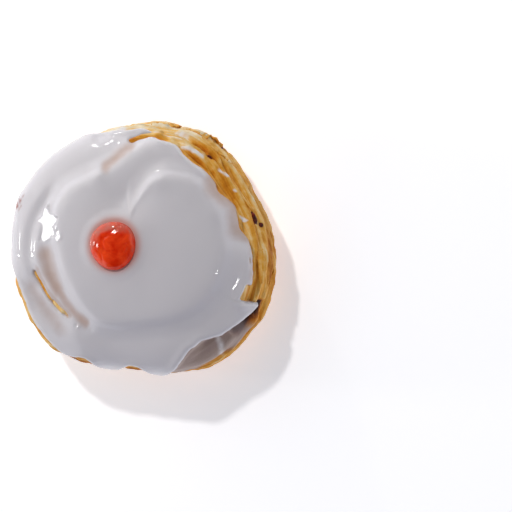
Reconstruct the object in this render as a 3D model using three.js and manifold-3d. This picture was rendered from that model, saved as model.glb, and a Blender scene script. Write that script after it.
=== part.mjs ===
// Belgian bun: a coiled sweet bun, iced over the top, with half a cherry in the middle.
// Millimetres. The coil's axis is Z and the flat base lies on Z = 0. Seen from above, +X is the
// bun's right and +Y its top. Angles are in degrees, anticlockwise from +X.
import * as THREE from "three";
import { ParametricGeometry } from "three/addons/geometries/ParametricGeometry.js";
import { mergeVertices } from "three/addons/utils/BufferGeometryUtils.js";
import Module from "manifold-3d";

const { clamp, degToRad, radToDeg, smoothstep } = THREE.MathUtils;
const wasm = await Module();
wasm.setup();

// Dough: a round dome over a belly, on a tucked-in foot that the flat base cuts off
const BUN_RADIUS = 49.4;
const BELLY_HEIGHT = 16;
const DOME_HEIGHT = 37.5;
const DOME_POWER = 2.5;
const FOOT_POWER = 3.6;
const FOOT_CUT = 1.2;

// Waves that put the outline out of round: [waves in a turn, height, angle of a crest]
const OUTLINE_WAVES = [[2, 1.6, -17], [3, 1.5, -40], [4, 1, -38], [5, 0.8, 7], [6, 0.4, 0]];

// Seam of the coil, wound clockwise from beside the cherry to the lower right of the bun:
// [angle about the eye of the coil, distance from the eye]
const COIL_EYE = new THREE.Vector2(3.9, 2);
const SEAM = [
  [100, 15.4], [88, 21.2], [80, 25.8], [72, 28.8], [60, 31.6], [50, 33.4], [30, 34.6], [-10, 35.5],
  [-40, 34.5], [-85, 30.5], [-120, 33.4], [-145, 31.6], [-165, 31.6], [-212, 36], [-248, 32.5],
  [-278, 41], [-305, 38.5], [-330, 39], [-366, 42], [-385, 45.5], [-397, 47], [-415, 43.5], [-433, 49],
];
const SEAM_DEPTH = 2.4;
const SEAM_WIDTH = 2.6;
const SEAM_FADE = 26;
const TURN_RISE = 2;
const TURN_SLOPE = 4.4;
const TURN_FADE = [-40, 14];
const TOP_RISE = 2 * TURN_RISE;

// Crease along the left of the outer turn, in the same terms
const CREASE = [[238, 35], [223, 37.5], [208, 39.5], [191, 42.5], [170, 42], [150, 40], [136, 41.5]];
const CREASE_DEPTH = 1.5;
const CREASE_WIDTH = 2.3;

// Heights between which the coil's relief fades out down the side
const RELIEF_NONE = 20;
const RELIEF_FULL = 29;

// Lumps and hollows: [place, width, rise]
const LUMPS = [
  [new THREE.Vector3(-45, 19.5, 25.5), 4.5, 0.8],
  [new THREE.Vector3(0.5, 19, 41), 9.5, -2.1],
  [new THREE.Vector3(15, 47.5, 18), 10, -1.4],
  [new THREE.Vector3(-38, -12.9, 31), 4.6, -1.5],
  [new THREE.Vector3(-35, -18.6, 31.2), 4.8, -1.9],
  [new THREE.Vector3(-30.5, -22.9, 32.4), 4.6, -1.8],
  [new THREE.Vector3(-25.4, -26.9, 33), 4.6, -1.1],
];

// Baked layers on the bare side: wavy ridges that start below the icing and fade out at the foot
const LAYER_PITCH = 5.4;
const LAYER_DEPTH = 0.75;
const LAYER_DRIFTS = [[2, 2.6, 30], [5, 1.3, 18]];
const LAYER_START = 4;
const LAYER_FOOT = [1, 6];

// Flake that stands off the side at the upper right
const FLAKE = { from: 74, to: 52, height: 16.5, width: 3, lift: 1.1, taper: 10, edge: 3 };

// Step down below the edge of the icing at the lower right
const LEDGE = { from: -76, to: -30, depth: 1.1, taper: 10, run: 1.5 };

// Sultanas in the side: [angle, distance down the surface from the top]
const SULTANAS = [[14.5, 52.4], [57, 61], [51, 49.6], [-30.5, 53.6]];
const SULTANA_SIZE = new THREE.Vector3(6.6, 4.6, 4.4);
const SULTANA_SINK = 0.9;

// Icing: [angle, how far it runs down the surface from the top]
const ICING_REACH = [
  [-180, 55], [-168, 48.6], [-148, 47.2], [-126, 48.8], [-115, 47.5], [-108, 55.5], [-99, 55.5],
  [-93, 48.5], [-88, 48.5], [-83, 56.5], [-76, 54.5], [-68, 47], [-56, 41.3], [-50, 41.5], [-36, 46.9],
  [-26, 52.4], [-20, 42.8], [-12, 46.5], [4, 46.3], [12, 43.5], [21, 46.3], [33, 42.6], [41, 43.8],
  [58, 41.4], [78, 44.2], [84, 49], [96, 49.2], [108, 52], [118, 57], [150, 57], [180, 55],
];
const ICING_MEAN = 49;
const ICING_THICKNESS = 1.5;
const ICING_BEAD = 0.5;
const ICING_BEAD_START = 0.85;
const ICING_EDGE = 1.2;
const ICING_TUCK = 0.6;
const ICING_ROOT = -1.4;
const ICING_SEAM_DEPTH = 1.5;
const ICING_SEAM_WIDTH = 4;
const GAP = 0.3;

// Half cherry, cut face down in the icing, which stands up round it as a collar
const CHERRY_AT = new THREE.Vector2(-3.2, 2.2);
const CHERRY_SIZE = new THREE.Vector2(17.6, 17.9);
const CHERRY_RISE = 5.2;
const CHERRY_POWER = 2.3;
const CHERRY_SINK = 1.1;
const CHERRY_TUCK = 0.86;
const CHERRY_DENT = 0.02;
const COLLAR_RISE = 0.6;
const COLLAR_WIDTH = 5;

// Facets
const COLUMNS = 88;
const DOUGH_ROWS = 27;
const ICING_ROWS = 17;
const CHERRY_COLUMNS = 26;
const CHERRY_ROWS = 8;
const SULTANA_FACETS = [10, 7];

// Half outline of the bun, from the middle of the top down to the edge of the flat base
class HalfOutline extends THREE.Curve {
  getPoint(t, target = new THREE.Vector2()) {
    const lowest = Math.asin((BELLY_HEIGHT / (BELLY_HEIGHT + FOOT_CUT)) ** (FOOT_POWER / 2));
    const turn = Math.PI / 2 - t * (Math.PI / 2 + lowest);
    const power = turn > 0 ? DOME_POWER : FOOT_POWER;
    const reach = turn > 0 ? DOME_HEIGHT - BELLY_HEIGHT : -BELLY_HEIGHT - FOOT_CUT;
    const out = BUN_RADIUS * Math.abs(Math.cos(turn)) ** (2 / power);
    return target.set(out, BELLY_HEIGHT + reach * Math.abs(Math.sin(turn)) ** (2 / power));
  }
}
const HALF_OUTLINE = new HalfOutline();
HALF_OUTLINE.arcLengthDivisions = 600;
const OUTLINE_LENGTH = HALF_OUTLINE.getLength();

// Value between two knots of a list that is in order of its first entries
function along(knots, at, ease = (t) => t) {
  const list = knots[0][0] < knots[knots.length - 1][0] ? knots : [...knots].reverse();
  const next = list.findIndex((knot) => knot[0] >= at);
  if (next <= 0) return next < 0 ? list[list.length - 1][1] : list[0][1];
  const [a, b] = [list[next - 1], list[next]];
  return a[1] + (b[1] - a[1]) * ease((at - a[0]) / (b[0] - a[0]));
}

// Sum of waves round the bun at an angle
function waves(list, angle) {
  return list.reduce((sum, [count, height, at]) => sum + height * Math.cos(degToRad(count * (angle - at))), 0);
}

// How far the icing runs down at an angle, with rounded runs and notches
function icingReach(angle) {
  return along(ICING_REACH, angle, (t) => smoothstep(t, 0, 1));
}

// Plain dome at an angle and a distance down the surface: its point and its outward direction
function dome(angle, down) {
  const share = clamp(down / OUTLINE_LENGTH, 0, 1);
  const half = HALF_OUTLINE.getPointAt(share);
  const run = HALF_OUTLINE.getTangentAt(share);
  const swell = 1 + waves(OUTLINE_WAVES, angle) / BUN_RADIUS;
  const turn = new THREE.Quaternion().setFromAxisAngle(new THREE.Vector3(0, 0, 1), degToRad(angle));
  const point = new THREE.Vector3(half.x * swell, 0, half.y).applyQuaternion(turn);
  const normal = new THREE.Vector3(-run.y, 0, run.x * swell).normalize().applyQuaternion(turn);
  return { point, normal };
}

// Distance outside one pass of a winding line, square to it
function distanceOutside(line, at, reach) {
  const step = 4;
  const radius = along(line, at);
  const slope = (along(line, at + step) - along(line, at - step)) / degToRad(2 * step) / radius;
  return (reach - radius) / Math.hypot(1, slope);
}

// Share of a winding line's depth at an angle, which fades out towards its inner end
function innerFade(line, at, [from, to] = [0, SEAM_FADE]) {
  return smoothstep(line[0][0] - at, from, to);
}

// The same towards its outer end
function outerFade(line, at) {
  return smoothstep(at - line[line.length - 1][0], 0, SEAM_FADE);
}

function groove(distance, width) {
  return Math.exp(-((distance / width) ** 2));
}

// How far the turns of the coil, its seam and the crease stand above or below the plain dome
function coilRelief(point, depth, width) {
  const spoke = new THREE.Vector2(point.x, point.y).sub(COIL_EYE);
  const angle = radToDeg(Math.atan2(spoke.y, spoke.x));
  let relief = TOP_RISE;
  for (const at of [angle, angle - 360]) {
    const outside = distanceOutside(SEAM, at, spoke.length());
    const step = TURN_RISE * smoothstep(outside, -TURN_SLOPE, TURN_SLOPE) * innerFade(SEAM, at, TURN_FADE);
    relief -= outerFade(SEAM, at) * (step + depth * groove(outside, width) * innerFade(SEAM, at));
  }
  const at = (angle + 360) % 360;
  const outside = distanceOutside(CREASE, at, spoke.length());
  const crease = CREASE_DEPTH * (depth / SEAM_DEPTH) * groove(outside, CREASE_WIDTH);
  relief -= innerFade(CREASE, at) * outerFade(CREASE, at) * crease;
  relief *= smoothstep(point.z, RELIEF_NONE, RELIEF_FULL);
  return LUMPS.reduce((sum, [place, size, rise]) => sum + rise * groove(point.distanceTo(place), size), relief);
}

// Baked layers, the flake and the ledge on the bare part of the side
function layerRelief(angle, point, down) {
  const start = icingReach(angle);
  const layer = Math.sin((2 * Math.PI * (point.z + waves(LAYER_DRIFTS, angle))) / LAYER_PITCH);
  const run = smoothstep(angle, FLAKE.to, FLAKE.to + FLAKE.edge) * smoothstep(FLAKE.from - angle, 0, FLAKE.taper);
  const flake = FLAKE.lift * run * groove(point.z - FLAKE.height, FLAKE.width);
  const span = smoothstep(angle - LEDGE.from, 0, LEDGE.taper) * smoothstep(LEDGE.to - angle, 0, LEDGE.taper);
  const ledge = LEDGE.depth * span * smoothstep(down, start, start + LEDGE.run);
  const relief = LAYER_DEPTH * layer * smoothstep(down, start, start + LAYER_START) + flake - ledge;
  return relief * smoothstep(point.z, ...LAYER_FOOT);
}

// Solid of a closed surface
function solidOf(geometry) {
  geometry.deleteAttribute("normal");
  geometry.deleteAttribute("uv");
  const merged = mergeVertices(geometry);
  const corners = merged.index.array;
  const triVerts = [];
  for (let i = 0; i < corners.length; i += 3) {
    const [a, b, c] = corners.slice(i, i + 3);
    if (a !== b && b !== c && c !== a) triVerts.push(a, b, c);
  }
  const vertProperties = new Float32Array(merged.attributes.position.array);
  return new wasm.Manifold(new wasm.Mesh({ numProp: 3, vertProperties, triVerts: new Uint32Array(triVerts) }));
}

// Solid of rings of points about an upright axis, row 0 being its top point and the last row its lowest
function ringSolid(pointAt, columns, rows) {
  const place = (u, v, target) => target.copy(pointAt(180 - 360 * (u % 1), Math.round(v * rows)));
  return solidOf(new ParametricGeometry(place, columns, rows));
}

// Dough surface, grown outwards by a clearance
function doughPoint(angle, down, grow) {
  const { point, normal } = dome(angle, down);
  const relief = coilRelief(point, SEAM_DEPTH, SEAM_WIDTH) + layerRelief(angle, point, down);
  return point.addScaledVector(normal, relief + grow);
}

function doughSolid(grow) {
  const pointAt = (angle, row) => {
    if (row > DOUGH_ROWS) return new THREE.Vector3(0, 0, -grow);
    const down = (OUTLINE_LENGTH * row) / DOUGH_ROWS;
    return row < DOUGH_ROWS ? doughPoint(row ? angle : 0, down, grow) : dome(angle, down).point.setZ(-grow);
  };
  return ringSolid(pointAt, COLUMNS, DOUGH_ROWS + 1);
}

// Sultana bedded in the side, lying along the layers
function sultanaSolid([angle, down], grow) {
  const { normal } = dome(angle, down);
  const centre = doughPoint(angle, down, 0).addScaledVector(normal, -SULTANA_SINK);
  const run = new THREE.Vector3(-Math.sin(degToRad(angle)), Math.cos(degToRad(angle)), 0);
  const lie = new THREE.Matrix4().makeBasis(run, new THREE.Vector3().crossVectors(normal, run), normal);
  const half = SULTANA_SIZE.clone().multiplyScalar(0.5).addScalar(grow);
  const berry = new THREE.SphereGeometry(1, ...SULTANA_FACETS).scale(half.x, half.y, half.z);
  return solidOf(berry.applyMatrix4(lie.setPosition(centre)));
}

// Outside of the icing at an angle and a distance down the surface
function icingPoint(angle, down, thickness) {
  const { point, normal } = dome(angle, down);
  const fromCherry = new THREE.Vector2(point.x, point.y).distanceTo(CHERRY_AT) - CHERRY_SIZE.x / 2;
  const collar = COLLAR_RISE * (1 - smoothstep(fromCherry, 0, COLLAR_WIDTH));
  const relief = coilRelief(point, ICING_SEAM_DEPTH, ICING_SEAM_WIDTH);
  return point.addScaledVector(normal, relief + collar + thickness);
}

// Icing out to its beaded edge, which turns in under the surface of the dough
function icingSolid() {
  const pointAt = (angle, row) => {
    const reach = icingReach(angle);
    const share = row / ICING_ROWS;
    if (row > ICING_ROWS + 1) return new THREE.Vector3(0, 0, BELLY_HEIGHT / 2);
    if (row > ICING_ROWS) return icingPoint(angle, reach + ICING_TUCK, ICING_ROOT);
    if (row === ICING_ROWS) return icingPoint(angle, reach, ICING_EDGE);
    const down = ICING_MEAN * share + (reach - ICING_MEAN) * share ** 4;
    const bead = ICING_BEAD * smoothstep(share, ICING_BEAD_START, 1);
    return icingPoint(row ? angle : 0, down, ICING_THICKNESS + bead);
  };
  return ringSolid(pointAt, COLUMNS, ICING_ROWS + 2);
}

// Half cherry: a dome that tucks in to a flat cut face
function cherrySolid(level, grow) {
  const pointAt = (angle, row) => {
    const dome = Math.min(1, row / CHERRY_ROWS) * (Math.PI / 2);
    const floor = row > CHERRY_ROWS;
    const share = floor ? CHERRY_TUCK * (row < CHERRY_ROWS + 2) : Math.sin(dome) ** (2 / CHERRY_POWER);
    const lift = Math.max(0, Math.cos(dome)) ** (2 / CHERRY_POWER) * (CHERRY_RISE + grow);
    const out = share * (1 - CHERRY_DENT * Math.cos(degToRad(3 * angle) + 1));
    const x = CHERRY_AT.x + (CHERRY_SIZE.x / 2 + grow) * out * Math.cos(degToRad(angle));
    const y = CHERRY_AT.y + (CHERRY_SIZE.y / 2 + grow) * out * Math.sin(degToRad(angle));
    return new THREE.Vector3(x, y, floor ? level - CHERRY_SINK - grow : level + lift);
  };
  return ringSolid(pointAt, CHERRY_COLUMNS, CHERRY_ROWS + 2);
}

// The largest of the bodies in a solid
function largest(solid) {
  return solid.decompose().sort((a, b) => b.volume() - a.volume())[0];
}

function named(name, solid, color, roughness) {
  const { vertProperties, triVerts } = solid.getMesh();
  const geometry = new THREE.BufferGeometry();
  geometry.setAttribute("position", new THREE.BufferAttribute(new Float32Array(vertProperties), 3));
  geometry.setIndex(new THREE.BufferAttribute(new Uint32Array(triVerts), 1));
  const mesh = new THREE.Mesh(geometry, new THREE.MeshStandardMaterial({ color, roughness, metalness: 0 }));
  mesh.name = name;
  return mesh;
}

// Dough with its sultanas, grown outwards by a clearance
function bunSolid(grow) {
  return SULTANAS.reduce((sum, place) => sum.add(sultanaSolid(place, grow)), doughSolid(grow));
}

const cherryAngle = radToDeg(CHERRY_AT.angle());
const cherryLevel = icingPoint(cherryAngle, CHERRY_AT.length(), ICING_THICKNESS).z - COLLAR_RISE;
const icing = icingSolid().subtract(bunSolid(GAP)).subtract(cherrySolid(cherryLevel, GAP));

const bun = new THREE.Group();
bun.name = "belgian_bun";
bun.add(named("coil_bun", bunSolid(0), "#b8772e", 0.7));
bun.add(named("icing", largest(icing), "#e6e4e8", 0.25));
bun.add(named("cherry", cherrySolid(cherryLevel, 0), "#c8321a", 0.15));

export default bun;
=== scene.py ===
"""Belgian bun: coiled dough with baked layers, water icing, half a glace cherry and sultanas.

The classes hold their sizes in millimetres and degrees, in the frame of the solids: the flat base
lies on Z = 0 and, seen from above, +X is the bun's right and +Y its top. Meshes are in metres.
"""

import logging
import math
from dataclasses import dataclass
from enum import Enum
from functools import cached_property

import bmesh
import bpy
import numpy as np
from mathutils import Matrix, Vector, noise
from mathutils.kdtree import KDTree

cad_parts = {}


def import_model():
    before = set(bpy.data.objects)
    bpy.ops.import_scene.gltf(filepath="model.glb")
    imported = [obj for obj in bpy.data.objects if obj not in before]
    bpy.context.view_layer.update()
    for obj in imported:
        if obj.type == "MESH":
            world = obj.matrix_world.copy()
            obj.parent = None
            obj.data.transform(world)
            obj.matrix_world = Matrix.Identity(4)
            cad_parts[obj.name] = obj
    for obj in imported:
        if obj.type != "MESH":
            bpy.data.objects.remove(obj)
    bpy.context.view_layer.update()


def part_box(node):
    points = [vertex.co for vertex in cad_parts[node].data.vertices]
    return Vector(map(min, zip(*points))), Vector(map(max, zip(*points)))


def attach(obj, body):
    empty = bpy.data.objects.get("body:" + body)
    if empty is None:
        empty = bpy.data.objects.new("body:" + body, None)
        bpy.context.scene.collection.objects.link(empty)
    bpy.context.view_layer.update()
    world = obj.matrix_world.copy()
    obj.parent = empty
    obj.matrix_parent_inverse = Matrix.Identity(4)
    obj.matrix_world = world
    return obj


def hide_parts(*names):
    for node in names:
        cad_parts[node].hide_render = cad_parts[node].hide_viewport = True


LOG = logging.getLogger("belgian_bun")
MM = 0.001
WELD = 0.001
BODY = "root"
CRUST_MARKS = ("bake_with_painted_shading", "smear", "film", "down")
ICING_MARKS = ("cover", "cherry_stain_and_shade", "fleck")

Array = np.ndarray
Material = bpy.types.Material
Mesh = bmesh.types.BMesh
Object = bpy.types.Object
Inputs = dict[str | int, object]
Pair = tuple[float, float]
Triple = tuple[float, float, float]
Knots = tuple[Pair, ...]
Stops = tuple[tuple[float, str], ...]


class Slot(Enum):
    """Material slots of the record."""

    DOUGH = "baked_dough"
    ICING = "water_icing"
    CHERRY = "glace_cherry"


def step(low: float, high: float, value: Array) -> Array:
    """Smooth step from 0 at low to 1 at high."""
    share = np.clip((value - low) / (high - low), 0.0, 1.0)
    return share * share * (3.0 - 2.0 * share)


def span(ends: tuple[Pair, Pair], angle: Array) -> Array:
    """Share of a stretch round the bun that comes in over one pair of angles and goes over another."""
    return step(*ends[0], angle) * step(*ends[1], angle)


def hump(distance: Array, width: float | Array) -> Array:
    """Bell curve that is 1 at distance 0."""
    return np.exp(-((distance / width) ** 2))


def along(knots: Knots, at: Array) -> Array:
    """Reads a smooth curve through knots.

    Args:
        knots: Pairs of position and value, in rising order of position.
        at: Positions to read.

    Returns:
        Values, held level past both ends.
    """
    place, value = np.array(knots, float).T
    slope = np.gradient(value, place)
    at = np.clip(at, place[0], place[-1])
    low = np.clip(np.searchsorted(place, at) - 1, 0, len(place) - 2)
    gap = place[low + 1] - place[low]
    t = (at - place[low]) / gap
    near = value[low] * (1 + 2 * t) * (1 - t) ** 2 + slope[low] * gap * t * (1 - t) ** 2
    far = value[low + 1] * t**2 * (3 - 2 * t) + slope[low + 1] * gap * t**2 * (t - 1)
    return near + far


def waves(crests: tuple[Triple, ...], angle: Array) -> Array:
    """Sum of waves round the bun, each given as its count in a turn, its height and a crest's angle."""
    return sum(height * np.cos(np.radians(count * (angle - crest))) for count, height, crest in crests)


@dataclass(frozen=True)
class Grain:
    """Seeded smooth noise, with one size for its features or a size along each axis."""

    amount: float
    size: float | Triple
    seed: float
    octaves: int = 2
    mean: float = 0.0

    def at(self, points: Array) -> Array:
        """Reads the noise.

        Args:
            points: Places to read, one row each.

        Returns:
            Values that swing about the mean by about the amount.
        """
        scaled = points / np.array(self.size) + self.seed
        values = [noise.fractal(place, 1.0, 2.0, self.octaves) for place in scaled.tolist()]
        return self.mean + self.amount * np.array(values)


@dataclass(frozen=True)
class Stroke:
    """One line drawn on the bun, between two places given as angle and distance out or down."""

    start: Pair
    end: Pair
    width: float
    amount: float
    taper: float = 6.0

    def weight(self, angle: Array, out: Array) -> Array:
        """Works out the stroke's amount at places.

        Args:
            angle: Angles of the places, in degrees.
            out: Their distances out or down, in millimetres.

        Returns:
            Amounts, which fade with the distance from the line and past its ends.
        """
        (first, low), (last, high) = sorted((self.start, self.end))
        middle = (first + last) / 2
        turned = (angle - middle + 180) % 360 - 180 + middle
        line = np.interp(turned, (first, last), (low, high))
        ends = step(first - self.taper, first, turned) * step(-last - self.taper, -last, -turned)
        return self.amount * ends * hump(out - line, self.width)


Strokes = tuple[Stroke, ...]


def strokes(lines: Strokes, angle: Array, out: Array) -> Array:
    """Sum of the strokes' amounts at places."""
    return sum((line.weight(angle, out) for line in lines), np.zeros_like(angle))


def strongest(lines: Strokes, angle: Array, out: Array) -> Array:
    """Largest of the strokes' amounts at places."""
    return np.max([line.weight(angle, out) for line in lines], axis=0)


@dataclass(frozen=True)
class BunForm:
    """The bun's shape, from the driving sizes of the solids."""

    radius: float = 49.4
    belly_height: float = 16.0
    dome_height: float = 37.5
    dome_power: float = 2.5
    foot_power: float = 3.6
    foot_cut: float = 1.2
    samples: int = 4001
    normal_reach: float = 0.4
    outline_waves: tuple[Triple, ...] = (
        (2, 1.6, -17), (3, 1.5, -40), (4, 1.0, -38), (5, 0.8, 7), (6, 0.4, 0),
    )
    eye: Pair = (3.9, 2.0)
    seam: Knots = (
        (-433, 49), (-415, 43.5), (-397, 47), (-385, 45.5), (-366, 42), (-330, 39), (-305, 38.5),
        (-278, 41), (-248, 32.5), (-212, 36), (-165, 31.6), (-145, 31.6), (-120, 33.4), (-85, 30.5),
        (-40, 34.5), (-10, 35.5), (30, 34.6), (50, 33.4), (60, 31.6), (72, 28.8), (80, 25.8), (88, 21.2),
        (100, 15.4),
    )
    crease: Knots = ((136, 41.5), (150, 40), (170, 42), (191, 42.5), (208, 39.5), (223, 37.5), (238, 35))
    crease_share: float = 0.62
    crease_width: float = 2.3
    end_fade: float = 26.0
    last_stretch: float = -350.0
    last_fade: float = 20.0
    lean_reach: float = 4.0
    turn_rise: float = 2.0
    turn_slope: float = 4.4
    turn_fade: Pair = (-40.0, 14.0)
    relief_none: float = 20.0
    relief_full: float = 29.0
    lumps: tuple[tuple[Triple, float, float], ...] = (
        ((-45, 19.5, 25.5), 4.5, 0.8), ((0.5, 19, 41), 9.5, -2.1), ((15, 47.5, 18), 10.0, -1.4),
        ((-38, -12.9, 31), 4.6, -1.5), ((-35, -18.6, 31.2), 4.8, -1.9), ((-30.5, -22.9, 32.4), 4.6, -1.8),
        ((-25.4, -26.9, 33), 4.6, -1.1),
    )
    icing_edge: Knots = (
        (-180, 55), (-175, 52), (-170, 49), (-164, 47.7), (-156, 47.3), (-148, 47.2), (-134, 47.6),
        (-126, 48.8), (-121, 48.5), (-115, 47.2), (-111.5, 50), (-107, 56), (-100, 55), (-95.5, 50),
        (-90, 48), (-86.5, 50), (-82, 57), (-77, 54), (-72, 49.5), (-68.5, 47), (-62, 43),
        (-55.5, 41.3), (-50, 41.5), (-42, 44.8), (-36, 46.7), (-30, 49.4), (-26.2, 52), (-24.6, 52.8),
        (-23.6, 51.6), (-23, 46.5), (-22.4, 44.4), (-21.5, 44.3), (-19.5, 45.2), (-17.5, 46.2),
        (-15, 46.8), (-12.5, 47.1), (-7.5, 46.9), (-1.5, 46.5), (5.5, 46.2), (9, 44.6), (12, 43.5),
        (15, 44.2), (18.5, 45.4), (22, 46.4), (26, 45.6), (33, 42.6), (40, 43.8), (48.5, 43),
        (54, 41.8), (60, 41.5), (66, 43.2), (73, 43.4), (77, 43.9), (79.5, 45.4), (81, 47.8),
        (83.5, 49), (88, 49.4), (92, 49.2), (96, 49.2), (99, 49.8), (104, 51), (110, 52), (118, 57),
        (150, 57), (180, 55),
    )

    @cached_property
    def half_outline(self) -> tuple[Array, Array, Array]:
        """Distance down, distance out and height along the half outline, from the top to the base."""
        lowest = math.asin((self.belly_height / (self.belly_height + self.foot_cut)) ** (self.foot_power / 2))
        turn = np.linspace(math.pi / 2, -lowest, self.samples)
        dome = turn > 0
        power = np.where(dome, self.dome_power, self.foot_power)
        reach = np.where(dome, self.dome_height - self.belly_height, -self.belly_height - self.foot_cut)
        out = self.radius * np.abs(np.cos(turn)) ** (2 / power)
        height = self.belly_height + reach * np.abs(np.sin(turn)) ** (2 / power)
        down = np.concatenate([[0.0], np.cumsum(np.hypot(np.diff(out), np.diff(height)))])
        return down, out, height

    @property
    def length(self) -> float:
        """Distance down the surface from the top to the edge of the base."""
        return float(self.half_outline[0][-1])

    def dome(self, angle: Array, down: Array) -> tuple[Array, Array]:
        """Plain dome under the relief.

        Args:
            angle: Angles about the axis, in degrees.
            down: Distances down the surface from the top.

        Returns:
            Points and outward directions, one row each.
        """
        table, out, height = self.half_outline
        reach = self.normal_reach
        swell = 1 + waves(self.outline_waves, angle) / self.radius
        here = np.interp(down, table, out) * swell
        rise = np.interp(down - reach, table, height) - np.interp(down + reach, table, height)
        run = (np.interp(down + reach, table, out) - np.interp(down - reach, table, out)) * swell
        size = np.hypot(rise, run)
        turn = np.radians(angle)
        around = np.stack([np.cos(turn), np.sin(turn)], 1)
        points = np.column_stack([around * here[:, None], np.interp(down, table, height)])
        normals = np.column_stack([around * (rise / size)[:, None], run / size])
        return points, normals

    def spoke(self, points: Array) -> tuple[Array, Array]:
        """Angle about the eye of the coil, and distance from it."""
        away = points[:, :2] - np.array(self.eye)
        return np.degrees(np.arctan2(away[:, 1], away[:, 0])), np.hypot(away[:, 0], away[:, 1])

    def edge(self, angle: Array) -> Array:
        """How far down the icing runs at angles."""
        return along(self.icing_edge, (angle + 180) % 360 - 180)

    def coil_relief(
        self, points: Array, depth: float, width: float, spread: float = 1.0, last_share: float = 1.0
    ) -> Array:
        """Turns of the coil with the seam between them, and the crease on the left.

        Args:
            points: Points of the plain dome.
            depth: Depth of the seam.
            width: Half width of the seam.
            spread: How much wider the seam is on its outer side.
            last_share: Share of that depth along the last stretch of the seam, on the right.

        Returns:
            Heights above the plain dome, which fade out down the side.
        """
        angle, out = self.spoke(points)
        relief = np.full(len(points), 2 * self.turn_rise)
        for line, turns, rise, deep, wide, wider in (
            (self.seam, (0, -360), self.turn_rise, depth, width, spread),
            (self.crease, (0, 360), 0.0, depth * self.crease_share, self.crease_width, 1.0),
        ):
            for turn in turns:
                at = angle + turn
                radius = along(line, at)
                run = 2 * np.radians(self.lean_reach) * radius
                lean = (along(line, at + self.lean_reach) - along(line, at - self.lean_reach)) / run
                outside = (out - radius) / np.hypot(1, lean)
                start, left = step(0, self.end_fade, at - line[0][0]), line[-1][0] - at
                fall = rise * step(-self.turn_slope, self.turn_slope, outside) * step(*self.turn_fade, left)
                share = 1 - (1 - last_share) * step(self.last_stretch + self.last_fade, self.last_stretch, at)
                dent = share * deep * hump(outside, np.where(outside > 0, wider, 1.0) * wide)
                relief -= start * (fall + dent * step(0, self.end_fade, left))
        relief *= step(self.relief_none, self.relief_full, points[:, 2])
        for at, size, rise in self.lumps:
            relief += rise * hump(np.linalg.norm(points - np.array(at), axis=1), size)
        return relief


def linear(code: str) -> tuple[float, float, float, float]:
    """Linear colour of an sRGB hex code such as #AA8866."""
    parts = [int(code[i : i + 2], 16) / 255 for i in (1, 3, 5)]
    return (*(p / 12.92 if p <= 0.04045 else ((p + 0.055) / 1.055) ** 2.4 for p in parts), 1.0)


def per_metre(size: float) -> float:
    """Texture scale that makes one feature about a size in millimetres."""
    return 1 / (size * MM)


def add(
    tree: bpy.types.NodeTree,
    kind: str,
    inputs: Inputs | None = None,
    out: str | int = 0,
    stops: Stops = (),
    **settings: object,
) -> bpy.types.NodeSocket | None:
    """Adds a node with its settings and links.

    Args:
        tree: Node tree that takes the node.
        kind: Type of the node, without its ShaderNode prefix.
        inputs: Values or sockets for its inputs, by name or number.
        out: Name or number of the output to hand back.
        stops: Positions and hex colours of a colour ramp, the two ends first.
        settings: Properties of the node.

    Returns:
        That output, if the node has any.
    """
    node = tree.nodes.new("ShaderNode" + kind)
    for name, value in settings.items():
        setattr(node, name, value)
    for name, value in (inputs or {}).items():
        if isinstance(value, bpy.types.NodeSocket):
            tree.links.new(value, node.inputs[name])
        else:
            node.inputs[name].default_value = value
    for index, (place, code) in enumerate(stops):
        ramp = node.color_ramp.elements
        mark = ramp[index] if index < 2 else ramp.new(place)
        mark.position = place
        mark.color = linear(code)
    return node.outputs[out] if node.outputs else None


def new_material(name: str) -> tuple[Material, bpy.types.NodeTree]:
    """Starts a material.

    Args:
        name: Name of the real material.

    Returns:
        The material and its empty node tree.
    """
    material = bpy.data.materials.new(name)
    material.use_nodes = True
    material.node_tree.nodes.clear()
    return material, material.node_tree


def surfaced(material: Material, inputs: Inputs) -> Material:
    """Ends a material with its shader.

    Args:
        material: Material that was started.
        inputs: Values or sockets for the shader's inputs.

    Returns:
        The material.
    """
    shader = add(material.node_tree, "BsdfPrincipled", inputs)
    add(material.node_tree, "OutputMaterial", {"Surface": shader})
    return material


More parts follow.
